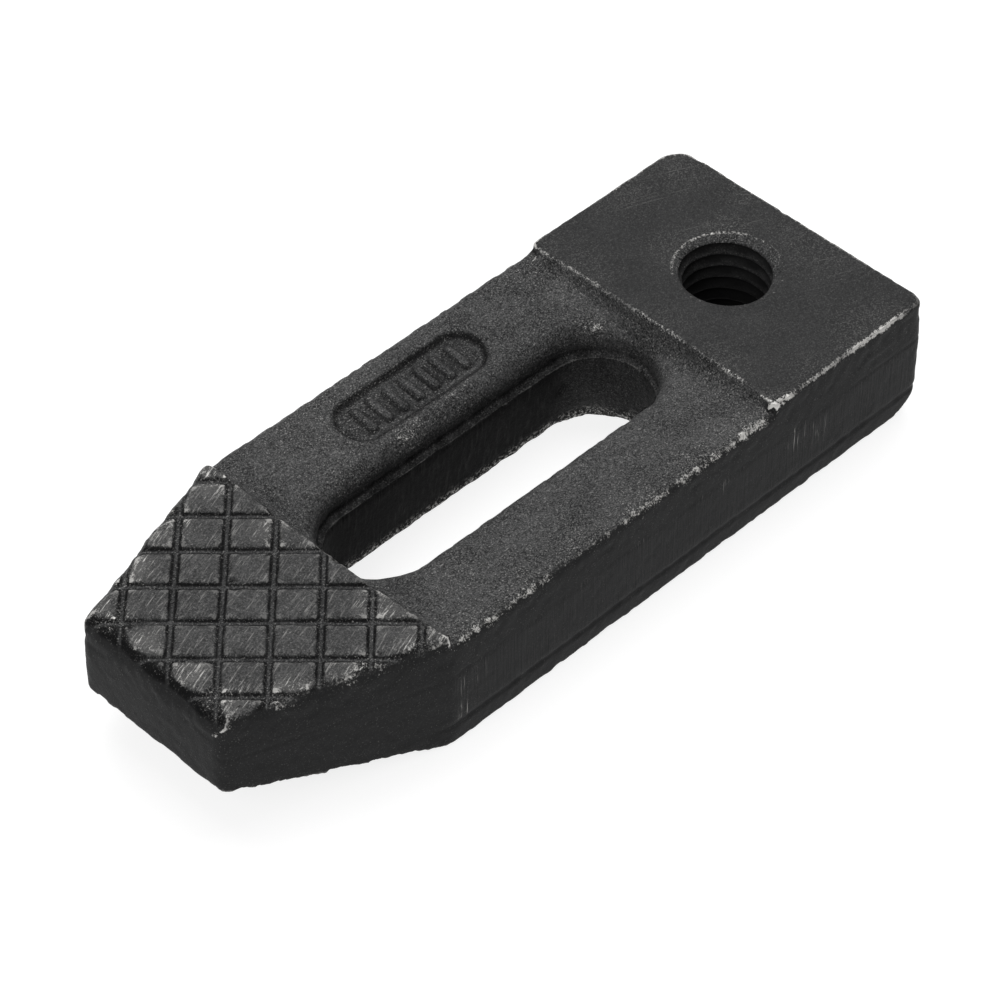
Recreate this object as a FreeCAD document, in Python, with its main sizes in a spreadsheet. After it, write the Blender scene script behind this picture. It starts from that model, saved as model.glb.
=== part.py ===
import FreeCAD, Part
import math
import os
import Sketcher

# Clamping plate: a drop-forged steel bar with a flat tail pad that carries a tapped hole, a dished
# web with a long slot, and a tapered nose pad with a crossed grip pattern.
# Millimetres. X runs from the tail to the nose, Y across, Z up from the flat underside.

sizes = [
    ("length", 116.7, "tail face to nose face"),
    ("width", 45.0, "across the trimmed sides"),
    ("thickness", 18.8, "underside to the two pads"),
    ("shoulder", 87.4, "tail face to the corners where the nose starts to narrow"),
    ("tip_width", 25.4, "width of the nose face"),
    ("tail_corner", 2.0, "plan radius of one tail corner"),
    ("far_corner", 4.0, "plan radius of the other tail corner, trimmed more deeply"),
    ("shoulder_corner", 3.2, "plan radius of the two shoulders"),
    ("tip_corner", 2.2, "plan radius of the two nose corners"),
    ("band_low", 3.8, "underside to the lower edge of the trimmed band"),
    ("parting", 12.4, "underside to the parting line"),
    ("upper_draft", 3.0, "draft of the sides above the parting line, degrees"),
    ("lower_draft", 6.0, "draft of the sides below the trimmed band, degrees"),
    ("nose_lift", 6.8, "height of the underside at the nose face"),
    ("heel_round", 6.0, "rounding under the tail, on which the plate rocks"),
    ("heel_bite", 0.05, "depth by which the heel curve crosses the two faces it joins"),
    ("tail_pad", 29.0, "length of the tail pad"),
    ("nose_pad", 29.3, "length of the nose pad"),
    ("web_middle", 15.4, "underside to the two web slopes where they would meet"),
    ("web_slope", 6.1, "rise of the web from the middle to the sides, degrees"),
    ("step_round", 2.2, "hollow at the foot of each step"),
    ("slot_tail", 38.9, "tail face to the centre of the tail end of the slot"),
    ("slot_nose", 77.75, "tail face to the centre of the nose end of the slot"),
    ("slot_foot", 17.6, "width of the slot at the underside"),
    ("slot_waist", 14.4, "width of the slot at the parting line"),
    ("pocket_width", 15.9, "width of the upper half of the slot at the parting line"),
    ("pocket_shift", 0.25, "sideways offset between the two halves of the slot"),
    ("pocket_draft", 4.0, "draft of the upper half of the slot, degrees"),
    ("rim_drop", 0.9, "start of the flared slot rim below the middle of the web"),
    ("rim_lean", 25.0, "lean of the flared slot rim"),
    ("edge_round", 0.7, "rounding of the upper outer edges"),
    ("crest_round", 0.7, "rounding of the web's outer edges and the crests of the steps"),
    ("base_round", 0.4, "rounding of the edges of the underside"),
    ("screw_place", 14.4, "tail face to the axis of the tapped hole"),
    ("screw_bore", 12.0, "core diameter of the M14 x 2 thread"),
    ("screw_mouth", 14.7, "diameter of the countersinks"),
    ("mouth_angle", 118.0, "included angle of the countersinks, degrees"),
    ("panel_place", 58.2, "tail face to the middle of the sunk panel"),
    ("panel_side", 14.9, "middle of the plate to the middle of the sunk panel"),
    ("panel_length", 24.7, "length of the sunk panel"),
    ("panel_width", 7.4, "width of the sunk panel"),
    ("panel_depth", 0.7, "depth of the sunk panel"),
    ("grip_cross", 12.0, "nose face to the main crossing of the grip grooves"),
    ("grip_pitch", 6.08, "spacing of the grip grooves"),
    ("grip_width", 1.0, "width of a grip groove"),
    ("grip_depth", 0.6, "depth of a grip groove"),
    ("grip_ahead", 2, "grooves of each family ahead of the main crossing"),
    ("grip_behind", 4, "grooves of each family behind the main crossing"),
    ("overrun", 2.0, "how far cutting outlines pass the faces that they cut"),
]

tiny = 0.001
side_zone = 0.45

doc = FreeCAD.newDocument("clamping_plate")

sheet = doc.addObject("Spreadsheet::Sheet", "sizes")
for row, (alias, number, note) in enumerate(sizes, start=1):
    sheet.set("A%d" % row, alias)
    sheet.set("B%d" % row, str(number))
    sheet.set("C%d" % row, note)
    sheet.setAlias("B%d" % row, alias)
doc.recompute()

body = doc.addObject("PartDesign::Body", "clamping_plate")
body.Label = "clamping_plate"


def measure(formula):
    """Value of a formula in the sheet's sizes, in millimetres or degrees."""
    result = sheet.evalExpression(formula)
    return float(getattr(result, "Value", result))


def origin_plane(role):
    for feature in body.Origin.OriginFeatures:
        if feature.Role == role:
            return feature


def new_sketch(name, role, height="0", place=("0", "0"), turn=0):
    """Empty sketch on one of the body's planes, raised, moved and turned within it."""
    sketch = body.newObject("Sketcher::SketchObject", name)
    sketch.AttachmentSupport = [(origin_plane(role), "")]
    sketch.MapMode = "FlatFace"
    sketch.AttachmentOffset = FreeCAD.Placement(
        FreeCAD.Vector(measure(place[0]), measure(place[1]), measure(height)),
        FreeCAD.Rotation(FreeCAD.Vector(0, 0, 1), turn))
    sketch.setExpression("AttachmentOffset.Base.x", place[0])
    sketch.setExpression("AttachmentOffset.Base.y", place[1])
    sketch.setExpression("AttachmentOffset.Base.z", height)
    return sketch


def bind(sketch, kind, items, name, formula):
    """One driving constraint whose value follows a formula."""
    index = sketch.addConstraint(Sketcher.Constraint(kind, *items, measure(formula)))
    sketch.renameConstraint(index, name)
    sketch.setExpression("Constraints." + name, formula)


def add_polygon(sketch, corners, tag="corner", construction=False):
    """Closed outline through corners given as pairs of formulas."""
    points = [FreeCAD.Vector(measure(x), measure(y), 0) for x, y in corners]
    first = sketch.GeometryCount
    count = len(points)
    for i in range(count):
        sketch.addGeometry(Part.LineSegment(points[i], points[(i + 1) % count]), construction)
    for i in range(count):
        following = first + (i + 1) % count
        sketch.addConstraint(Sketcher.Constraint("Coincident", first + i, 2, following, 1))
    for i, (x, y) in enumerate(corners):
        bind(sketch, "DistanceX", (-1, 1, first + i, 1), "%s%d_x" % (tag, i), x)
        bind(sketch, "DistanceY", (-1, 1, first + i, 1), "%s%d_y" % (tag, i), y)
    return first


def add_rounded_polygon(sketch, corners):
    """Closed outline, counterclockwise, through corners given as x, y and radius formulas."""
    guide = add_polygon(sketch, [corner[:2] for corner in corners], "corner", True)
    points = [FreeCAD.Vector(measure(x), measure(y), 0) for x, y, radius in corners]
    count = len(points)
    starts, middles, ends = [], [], []
    for i in range(count):
        radius = measure(corners[i][2])
        back = (points[i - 1] - points[i]).normalize()
        ahead = (points[(i + 1) % count] - points[i]).normalize()
        half = back.getAngle(ahead) / 2
        centre = points[i] + (back + ahead).normalize() * (radius / math.sin(half))
        starts.append(points[i] + back * (radius / math.tan(half)))
        middles.append(centre + (points[i] - centre).normalize() * radius)
        ends.append(points[i] + ahead * (radius / math.tan(half)))
    sides = [sketch.addGeometry(Part.LineSegment(ends[i], starts[(i + 1) % count]))
             for i in range(count)]
    rounds = [sketch.addGeometry(Part.Arc(starts[i], middles[i], ends[i])) for i in range(count)]
    for i in range(count):
        following = rounds[(i + 1) % count]
        sketch.addConstraint(Sketcher.Constraint("Tangent", rounds[i], 2, sides[i], 1))
        sketch.addConstraint(Sketcher.Constraint("Tangent", sides[i], 2, following, 1))
        sketch.addConstraint(Sketcher.Constraint("PointOnObject", sides[i], 1, guide + i))
        sketch.addConstraint(Sketcher.Constraint("PointOnObject", sides[i], 2, guide + i))
        bind(sketch, "Radius", (rounds[i],), "round%d" % i, corners[i][2])


def add_stadium(sketch, low_centre, high_centre, across, width):
    """Outline with two round ends, given by the centres of its ends along X and its width."""
    radius = measure(width) / 2
    left = FreeCAD.Vector(measure(low_centre), measure(across), 0)
    right = FreeCAD.Vector(measure(high_centre), measure(across), 0)
    side = FreeCAD.Vector(0, radius, 0)
    reach = FreeCAD.Vector(radius, 0, 0)
    outline = [sketch.addGeometry(Part.Arc(left + side, left - reach, left - side)),
               sketch.addGeometry(Part.LineSegment(left - side, right - side)),
               sketch.addGeometry(Part.Arc(right - side, right + reach, right + side)),
               sketch.addGeometry(Part.LineSegment(right + side, left + side))]
    for i in range(4):
        following = outline[(i + 1) % 4]
        sketch.addConstraint(Sketcher.Constraint("Tangent", outline[i], 2, following, 1))
    bind(sketch, "Radius", (outline[0],), "end_radius", "(%s) / 2" % width)
    bind(sketch, "DistanceX", (-1, 1, outline[0], 3), "low_centre", low_centre)
    bind(sketch, "DistanceX", (-1, 1, outline[2], 3), "high_centre", high_centre)
    bind(sketch, "DistanceY", (-1, 1, outline[0], 3), "low_across", across)
    bind(sketch, "DistanceY", (-1, 1, outline[2], 3), "high_across", across)


def add_feature(kind, name, sketch, reversed_way=False, **formulas):
    """Solid feature of the body on a sketch, with sizes bound to formulas."""
    feature = body.newObject("PartDesign::" + kind, name)
    feature.Profile = sketch
    feature.Reversed = reversed_way
    for item, formula in formulas.items():
        setattr(feature, item, measure(formula))
        feature.setExpression(item, formula)
    sketch.Visibility = False
    doc.recompute()
    return feature


def add_rounding(name, radius, wanted):
    """Fillet along those edges of the body for which wanted is true."""
    base = body.Tip
    names = ["Edge%d" % (i + 1) for i, edge in enumerate(base.Shape.Edges) if wanted(edge)]
    feature = body.newObject("PartDesign::Fillet", name)
    feature.Base = (base, names)
    feature.Radius = measure(radius)
    feature.setExpression("Radius", radius)
    doc.recompute()
    return feature


# Plan outline, trimmed to one upright band; the sides above and below it have draft.
outline = [
    ("0", "-sizes.width / 2", "sizes.far_corner"),
    ("sizes.shoulder", "-sizes.width / 2", "sizes.shoulder_corner"),
    ("sizes.length", "-sizes.tip_width / 2", "sizes.tip_corner"),
    ("sizes.length", "sizes.tip_width / 2", "sizes.tip_corner"),
    ("sizes.shoulder", "sizes.width / 2", "sizes.shoulder_corner"),
    ("0", "sizes.width / 2", "sizes.tail_corner"),
]

band_sketch = new_sketch("band_sketch", "XY_Plane", "sizes.band_low")
add_rounded_polygon(band_sketch, outline)
add_feature("Pad", "trimmed_band", band_sketch, Length="sizes.parting - sizes.band_low")

upper_sketch = new_sketch("upper_sketch", "XY_Plane", "sizes.parting")
add_rounded_polygon(upper_sketch, outline)
add_feature("Pad", "upper_half", upper_sketch, Length="sizes.thickness - sizes.parting",
            TaperAngle="-sizes.upper_draft")

lower_sketch = new_sketch("lower_sketch", "XY_Plane", "sizes.band_low")
add_rounded_polygon(lower_sketch, outline)
add_feature("Pad", "lower_half", lower_sketch, True, Length="sizes.band_low",
            TaperAngle="-sizes.lower_draft")


def on_underside(edge):
    return max(v.Z for v in edge.Vertexes) < tiny


add_rounding("underside_edges", "sizes.base_round", on_underside)

# Wedge under the nose.
wedge_sketch = new_sketch("wedge_sketch", "XZ_Plane")
wedge_end = "sizes.length + sizes.overrun"
wedge_rise = "sizes.nose_lift * (1 + sizes.overrun / (sizes.length - sizes.shoulder))"
add_polygon(wedge_sketch, [("sizes.shoulder", "0"), ("sizes.shoulder", "-sizes.overrun"),
                           (wedge_end, "-sizes.overrun"), (wedge_end, wedge_rise)])
wedge = add_feature("Pocket", "nose_wedge", wedge_sketch, Length="sizes.width + 2 * sizes.overrun")
wedge.Midplane = True
doc.recompute()

# Rounded heel under the tail face.
heel_sketch = new_sketch("heel_sketch", "XZ_Plane")
heel = measure("sizes.heel_round")
past = measure("sizes.overrun")
skew = heel * (1 - math.sqrt(0.5))
heel_points = [FreeCAD.Vector(x, z, 0) for x, z in (
    (0, heel), (-past, heel), (-past, -past), (heel, -past), (heel, 0))]
heel_sides = [heel_sketch.addGeometry(Part.LineSegment(heel_points[i], heel_points[i + 1]))
              for i in range(4)]
heel_arc = heel_sketch.addGeometry(Part.Arc(
    heel_points[0], FreeCAD.Vector(skew, skew, 0), heel_points[4]))
for i in range(3):
    heel_sketch.addConstraint(Sketcher.Constraint("Coincident", heel_sides[i], 2, heel_sides[i + 1], 1))
heel_sketch.addConstraint(Sketcher.Constraint("Coincident", heel_sides[3], 2, heel_arc, 2))
heel_sketch.addConstraint(Sketcher.Constraint("Coincident", heel_sides[0], 1, heel_arc, 1))
heel_sketch.addConstraint(Sketcher.Constraint("Horizontal", heel_arc, 1, heel_arc, 3))
heel_sketch.addConstraint(Sketcher.Constraint("Vertical", heel_arc, 2, heel_arc, 3))
heel_sketch.addConstraint(Sketcher.Constraint("Horizontal", heel_sides[0]))
heel_sketch.addConstraint(Sketcher.Constraint("Vertical", heel_sides[1]))
heel_sketch.addConstraint(Sketcher.Constraint("Horizontal", heel_sides[2]))
heel_sketch.addConstraint(Sketcher.Constraint("Vertical", heel_sides[3]))
bind(heel_sketch, "Radius", (heel_arc,), "heel", "sizes.heel_round")
bind(heel_sketch, "DistanceX", (-1, 1, heel_arc, 3), "centre_x", "sizes.heel_round - sizes.heel_bite")
bind(heel_sketch, "DistanceY", (-1, 1, heel_arc, 3), "centre_z", "sizes.heel_round - sizes.heel_bite")
bind(heel_sketch, "DistanceX", (heel_sides[1], 1, -1, 1), "past_x", "sizes.overrun")
bind(heel_sketch, "DistanceY", (heel_sides[2], 1, -1, 1), "past_z", "sizes.overrun")
heel_cut = add_feature("Pocket", "heel", heel_sketch, Length="sizes.width + 2 * sizes.overrun")
heel_cut.Midplane = True
doc.recompute()


def on_top(edge):
    return min(v.Z for v in edge.Vertexes) > measure("sizes.thickness") - tiny


add_rounding("top_edges", "sizes.edge_round", on_top)

# Dished web: each half of its floor rises from the middle to the side of the plate.
web_sketch = new_sketch("web_sketch", "XZ_Plane")
web_top = "sizes.thickness + sizes.overrun"
web_low = "sizes.web_middle"
web_start = "sizes.tail_pad"
web_stop = "sizes.length - sizes.nose_pad"
web_round = "sizes.step_round"
low = measure(web_low)
high = measure(web_top)
start = measure(web_start)
stop = measure(web_stop)
hollow = measure(web_round)
skew = hollow * (1 - math.sqrt(0.5))
top_side = web_sketch.addGeometry(Part.LineSegment(
    FreeCAD.Vector(stop, high, 0), FreeCAD.Vector(start, high, 0)))
tail_wall = web_sketch.addGeometry(Part.LineSegment(
    FreeCAD.Vector(start, high, 0), FreeCAD.Vector(start, low + hollow, 0)))
tail_hollow = web_sketch.addGeometry(Part.Arc(
    FreeCAD.Vector(start, low + hollow, 0), FreeCAD.Vector(start + skew, low + skew, 0),
    FreeCAD.Vector(start + hollow, low, 0)))
web_floor = web_sketch.addGeometry(Part.LineSegment(
    FreeCAD.Vector(start + hollow, low, 0), FreeCAD.Vector(stop - hollow, low, 0)))
nose_hollow = web_sketch.addGeometry(Part.Arc(
    FreeCAD.Vector(stop - hollow, low, 0), FreeCAD.Vector(stop - skew, low + skew, 0),
    FreeCAD.Vector(stop, low + hollow, 0)))
nose_wall = web_sketch.addGeometry(Part.LineSegment(
    FreeCAD.Vector(stop, low + hollow, 0), FreeCAD.Vector(stop, high, 0)))
web_sketch.addConstraint(Sketcher.Constraint("Coincident", top_side, 2, tail_wall, 1))
web_sketch.addConstraint(Sketcher.Constraint("Tangent", tail_wall, 2, tail_hollow, 1))
web_sketch.addConstraint(Sketcher.Constraint("Tangent", tail_hollow, 2, web_floor, 1))
web_sketch.addConstraint(Sketcher.Constraint("Tangent", web_floor, 2, nose_hollow, 1))
web_sketch.addConstraint(Sketcher.Constraint("Tangent", nose_hollow, 2, nose_wall, 1))
web_sketch.addConstraint(Sketcher.Constraint("Coincident", nose_wall, 2, top_side, 1))
web_sketch.addConstraint(Sketcher.Constraint("Horizontal", top_side))
web_sketch.addConstraint(Sketcher.Constraint("Horizontal", web_floor))
web_sketch.addConstraint(Sketcher.Constraint("Vertical", tail_wall))
web_sketch.addConstraint(Sketcher.Constraint("Vertical", nose_wall))
web_sketch.addConstraint(Sketcher.Constraint("Equal", tail_hollow, nose_hollow))
bind(web_sketch, "Radius", (tail_hollow,), "hollow", web_round)
bind(web_sketch, "DistanceX", (-1, 1, top_side, 2), "start", web_start)
bind(web_sketch, "DistanceX", (-1, 1, top_side, 1), "stop", web_stop)
bind(web_sketch, "DistanceY", (-1, 1, top_side, 1), "high", web_top)
bind(web_sketch, "DistanceY", (-1, 1, web_floor, 1), "low", web_low)

web = add_feature("Pocket", "web_half", web_sketch, Length="sizes.width / 2 + sizes.overrun")
web.UseCustomVector = True
web.Direction = FreeCAD.Vector(0, -1, math.tan(math.radians(measure("sizes.web_slope"))))
web.setExpression("Direction.z", "tan(sizes.web_slope * 1 deg)")
web.AlongSketchNormal = True
doc.recompute()
web_mirror = body.newObject("PartDesign::Mirrored", "web_other_half")
web_mirror.Originals = [web]
web_mirror.MirrorPlane = (origin_plane("XZ_Plane"), [""])
body.Tip = web_mirror
doc.recompute()


def along_web(edge):
    """True where the web meets the sides of the plate and the two pads."""
    box = edge.BoundBox
    between = box.XMin > measure(web_start) - tiny and box.XMax < measure(web_stop) + tiny
    outer = min(abs(box.YMin), abs(box.YMax)) > measure("sizes.width") * side_zone
    above = box.ZMin > measure("sizes.parting") + tiny
    on_pad = box.ZMin > measure("sizes.thickness") - tiny
    return between and ((outer and above) or on_pad)


add_rounding("web_edges", "sizes.crest_round", along_web)

# Slot: the lower half narrows upwards and the upper half widens upwards, so a narrow ledge is
# left all round at the parting line.
slot_sketch = new_sketch("slot_sketch", "XY_Plane")
add_stadium(slot_sketch, "sizes.slot_tail", "sizes.slot_nose", "0", "sizes.slot_foot")
slot_lean = "atan((sizes.slot_foot - sizes.slot_waist) / 2 / sizes.parting)"
add_feature("Pocket", "slot_lower_half", slot_sketch, True, Length="sizes.parting",
            TaperAngle="-" + slot_lean)

pocket_sketch = new_sketch("pocket_sketch", "XY_Plane", "sizes.parting")
add_stadium(pocket_sketch, "sizes.slot_tail", "sizes.slot_nose", "-sizes.pocket_shift",
            "sizes.pocket_width")
add_feature("Pocket", "slot_upper_half", pocket_sketch, True,
            Length="sizes.thickness - sizes.parting + sizes.overrun",
            TaperAngle="sizes.pocket_draft")


# Rim of the slot, flared where it meets the web.
rim_sketch = new_sketch("rim_sketch", "XY_Plane", "sizes.web_middle - sizes.rim_drop")
add_stadium(rim_sketch, "sizes.slot_tail", "sizes.slot_nose", "-sizes.pocket_shift",
            "sizes.pocket_width")
add_feature("Pocket", "slot_rim", rim_sketch, True,
            Length="sizes.rim_drop + sizes.pocket_width * tan(sizes.web_slope * 1 deg)",
            TaperAngle="sizes.rim_lean")

# Tapped hole, left at its core diameter, with a countersink at both ends.
screw_sketch = new_sketch("screw_sketch", "XZ_Plane", "0", ("sizes.screw_place", "0"))
bore = "sizes.screw_bore / 2"
mouth = "sizes.screw_mouth / 2"
sink = "(sizes.screw_mouth - sizes.screw_bore) / 2 / tan(sizes.mouth_angle / 2 * 1 deg)"
add_polygon(screw_sketch, [
    ("0", "-sizes.overrun"), (mouth, "-sizes.overrun"), (mouth, "0"), (bore, sink),
    (bore, "sizes.thickness - " + sink), (mouth, "sizes.thickness"),
    (mouth, "sizes.thickness + sizes.overrun"), ("0", "sizes.thickness + sizes.overrun")])
screw = body.newObject("PartDesign::Groove", "tapped_hole")
screw.Profile = screw_sketch
screw.ReferenceAxis = (screw_sketch, ["V_Axis"])
screw.Angle = 360
screw_sketch.Visibility = False
doc.recompute()

# Sunk panel on one rail, parallel to the sloping web.
panel_height = "sizes.web_middle + sizes.panel_side * tan(sizes.web_slope * 1 deg)"
panel_sketch = new_sketch("panel_sketch", "XY_Plane", panel_height,
                          ("sizes.panel_place", "-sizes.panel_side"))
panel_sketch.AttachmentOffset = FreeCAD.Placement(
    panel_sketch.AttachmentOffset.Base,
    FreeCAD.Rotation(FreeCAD.Vector(1, 0, 0), -measure("sizes.web_slope")))
panel_reach = "(sizes.panel_length - sizes.panel_width) / 2"
add_stadium(panel_sketch, "-" + panel_reach, panel_reach, "0", "sizes.panel_width")
add_feature("Pocket", "sunk_panel", panel_sketch, Length="sizes.panel_depth")

# Grip grooves on the nose pad, two families square to each other.
grip_first = "sizes.length - sizes.grip_cross - sizes.grip_behind * sizes.grip_pitch * sqrt(2)"
grip_span = "sizes.width * sqrt(2) / 2 + sizes.overrun"
for side, turn in (("left", 45), ("right", -45)):
    grip_sketch = new_sketch("grip_%s_sketch" % side, "XY_Plane", "sizes.thickness",
                             (grip_first, "0"), turn)
    add_polygon(grip_sketch, [
        ("-" + "(%s)" % grip_span, "-sizes.grip_width / 2"), (grip_span, "-sizes.grip_width / 2"),
        (grip_span, "sizes.grip_width / 2"), ("-" + "(%s)" % grip_span, "sizes.grip_width / 2")])
    groove = add_feature("Pocket", "grip_%s" % side, grip_sketch, Length="sizes.grip_depth")
    grooves = body.newObject("PartDesign::LinearPattern", "grip_%s_family" % side)
    grooves.Originals = [groove]
    grooves.Direction = (origin_plane("X_Axis"), [""])
    grooves.Occurrences = int(measure("sizes.grip_ahead + sizes.grip_behind + 1"))
    grooves.setExpression("Occurrences", "sizes.grip_ahead + sizes.grip_behind + 1")
    grooves.Length = measure("(sizes.grip_ahead + sizes.grip_behind) * sizes.grip_pitch * sqrt(2)")
    grooves.setExpression(
        "Length", "(sizes.grip_ahead + sizes.grip_behind) * sizes.grip_pitch * sqrt(2)")
    body.Tip = grooves
    doc.recompute()

# The plate stands on its underside with the middle of its length at the origin.
body.setExpression("Placement.Base.x", "-sizes.length / 2")
doc.recompute()

for thing in doc.Objects:
    for mark in ("Invalid", "Error"):
        if mark in thing.State:
            raise ValueError("%s is %s" % (thing.Name, mark))
if body.Shape.isNull() or not body.Shape.isValid() or len(body.Shape.Solids) != 1:
    raise ValueError("clamping_plate is not one sound solid")

os.makedirs("parts", exist_ok=True)
body.Shape.exportStep("parts/clamping_plate.step")
print("clamping_plate", round(body.Shape.Volume, 1), "cubic millimetres")
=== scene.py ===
import math
import bpy
import numpy as np
from mathutils import Matrix, Vector


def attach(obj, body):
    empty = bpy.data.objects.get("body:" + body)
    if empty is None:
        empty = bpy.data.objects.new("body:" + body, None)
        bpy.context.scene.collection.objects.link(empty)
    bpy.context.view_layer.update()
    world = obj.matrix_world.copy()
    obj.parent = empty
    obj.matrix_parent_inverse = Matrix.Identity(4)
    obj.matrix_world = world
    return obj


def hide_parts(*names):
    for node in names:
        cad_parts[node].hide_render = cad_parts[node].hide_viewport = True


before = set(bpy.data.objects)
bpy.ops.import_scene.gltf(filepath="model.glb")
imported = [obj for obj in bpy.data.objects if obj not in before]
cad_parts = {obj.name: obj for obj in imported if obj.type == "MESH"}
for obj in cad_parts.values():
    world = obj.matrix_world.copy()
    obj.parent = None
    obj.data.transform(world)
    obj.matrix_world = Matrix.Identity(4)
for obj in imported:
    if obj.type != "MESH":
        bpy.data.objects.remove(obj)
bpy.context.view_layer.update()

# Clamping plate: a drop-forged steel strap, blackened, worn bright where it is handled.
# Everything is in metres in the model's own frame; sizes in the dictionaries are millimetres
# along the plate from its tail face, across from its middle, and up from its underside.

mm = 0.001
plateFrame = {"tailFace": 58.35, "halfWidth": 22.5, "top": 18.8}


# camera
cameraLook = {
    "aimAlong": 52.795, "aimAcross": -4.092, "distance": 544.74,
    "turn": 44.90, "climb": 44.80, "tilt": 0.04, "lens": 149.82, "sensor": 36.0,
}


def placeCamera(look):
    turn, climb = math.radians(look["turn"]), math.radians(look["climb"])
    back = Vector((math.cos(climb) * math.cos(turn), math.cos(climb) * math.sin(turn), math.sin(climb)))
    aim = Vector((look["aimAlong"] - plateFrame["tailFace"], look["aimAcross"], 0)) * mm
    data = bpy.data.cameras.new("photoCamera")
    data.sensor_width = look["sensor"]
    data.lens = look["lens"]
    data.clip_start, data.clip_end = 0.01, 20
    camera = bpy.data.objects.new("photoCamera", data)
    bpy.context.collection.objects.link(camera)
    camera.location = aim + back * look["distance"] * mm
    camera.rotation_mode = "QUATERNION"
    facing = (-back).to_track_quat("-Z", "Y")
    camera.rotation_quaternion = facing @ Matrix.Rotation(math.radians(look["tilt"]), 3, "Z").to_quaternion()
    bpy.context.scene.camera = camera


placeCamera(cameraLook)
print("camera set")


# mesh helpers
def plateCoords(points):
    # model metres to plate millimetres, tail face at zero
    return points / mm + np.array([plateFrame["tailFace"], 0.0, 0.0])


def modelCoords(points):
    return (points - np.array([plateFrame["tailFace"], 0.0, 0.0])) * mm


def readPoints(mesh):
    flat = np.empty(len(mesh.vertices) * 3)
    mesh.vertices.foreach_get("co", flat)
    return flat.reshape(-1, 3)


def readNormals(mesh):
    flat = np.empty(len(mesh.vertices) * 3)
    mesh.vertex_normals.foreach_get("vector", flat)
    return flat.reshape(-1, 3)


def readEdges(mesh):
    flat = np.empty(len(mesh.edges) * 2, dtype=np.int32)
    mesh.edges.foreach_get("vertices", flat)
    return flat.reshape(-1, 2)


def writePoints(mesh, points):
    mesh.vertices.foreach_set("co", points.ravel())
    mesh.update()


def ease(low, high, value):
    t = np.clip((value - low) / (high - low), 0.0, 1.0)
    return t * t * (3.0 - 2.0 * t)


def bump(distance, reach):
    return np.exp(-(distance / reach) ** 2)


def relax(points, edges, amount, rounds):
    # pulls every point towards the middle of its neighbours, by its own amount
    count = len(points)
    degree = np.bincount(edges.ravel(), minlength=count)[:, None]
    for step in range(rounds):
        total = np.empty_like(points)
        for axis in range(3):
            total[:, axis] = (np.bincount(edges[:, 0], points[edges[:, 1], axis], count)
                              + np.bincount(edges[:, 1], points[edges[:, 0], axis], count))
        points = points + amount[:, None] * 0.5 * (total / degree - points)
    return points


latticeSize = 64
latticeRandom = np.random.default_rng(11)
latticeValues = latticeRandom.random((latticeSize, latticeSize, latticeSize))


def cloud(points, size, shift=0.0):
    # smooth random field from 0 to 1, one lump about every "size" millimetres
    cell = points / size + 17.3 + shift
    low = np.floor(cell).astype(int)
    part = cell - low
    part = part * part * (3.0 - 2.0 * part)
    value = 0.0
    for dx in (0, 1):
        for dy in (0, 1):
            for dz in (0, 1):
                weight = ((part[:, 0] if dx else 1 - part[:, 0])
                          * (part[:, 1] if dy else 1 - part[:, 1])
                          * (part[:, 2] if dz else 1 - part[:, 2]))
                value = value + weight * latticeValues[
                    (low[:, 0] + dx) % latticeSize, (low[:, 1] + dy) % latticeSize,
                    (low[:, 2] + dz) % latticeSize]
    return value


def remeshedCopy(node, name, voxel):
    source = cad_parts[node]
    piece = bpy.data.objects.new(name, source.data.copy())
    bpy.context.collection.objects.link(piece)
    remesh = piece.modifiers.new("evenMesh", "REMESH")
    remesh.mode = "VOXEL"
    remesh.voxel_size = voxel * mm
    applyModifiers(piece)
    return piece


def applyModifiers(piece):
    graph = bpy.context.evaluated_depsgraph_get()
    graph.update()
    made = bpy.data.meshes.new_from_object(piece.evaluated_get(graph))
    piece.modifiers.clear()
    old = piece.data
    piece.data = made
    bpy.data.meshes.remove(old)


# clamping plate
slotShape = {"tailCentre": 38.9, "noseCentre": 77.75, "shift": -0.25, "wall": 8.15, "lean": 0.07,
             "ledge": 12.4, "rimRadius": 1.8, "tearWidth": 0.9, "gougeStart": 1.0, "gougeEnd": -5.0}
screwHole = {"along": 14.4, "core": 6.0, "root": 7.0, "pitch": 2.0, "mouth": 7.4,
             "crestFlat": 0.16, "flank": 0.68}
panelMarks = {"along": 58.2, "across": -14.9, "length": 24.7, "width": 7.4, "floorAbove": 14,
              "count": 7, "spacing": 2.8, "barWidth": 1.25, "barLength": 4.4, "height": 0.45,
              "halfField": 11.6, "halfFieldWidth": 3.0}
webShape = {"tailCrest": 29.0, "noseCrest": 87.4, "middle": 15.4, "slope": 6.1, "crestMargin": 0.8}
noseShape = {"tip": 116.7, "shoulder": 87.4, "tipHalf": 12.7}
gripShape = {"crossing": 12.0, "pitch": 6.08, "halfGroove": 0.5,
             "pillow": 0.16, "pillowReach": 0.55, "exitRadius": 0.9, "exitReach": 1.3}
sideShape = {"parting": 12.4, "lowerLine": 3.8, "draft": 3.0,
             "partingCut": 0.07, "partingWidth": 0.35, "lowerCut": 0.20, "lowerWidth": 0.5,
             "wander": 0.7, "wanderSize": 9.0}
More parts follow.
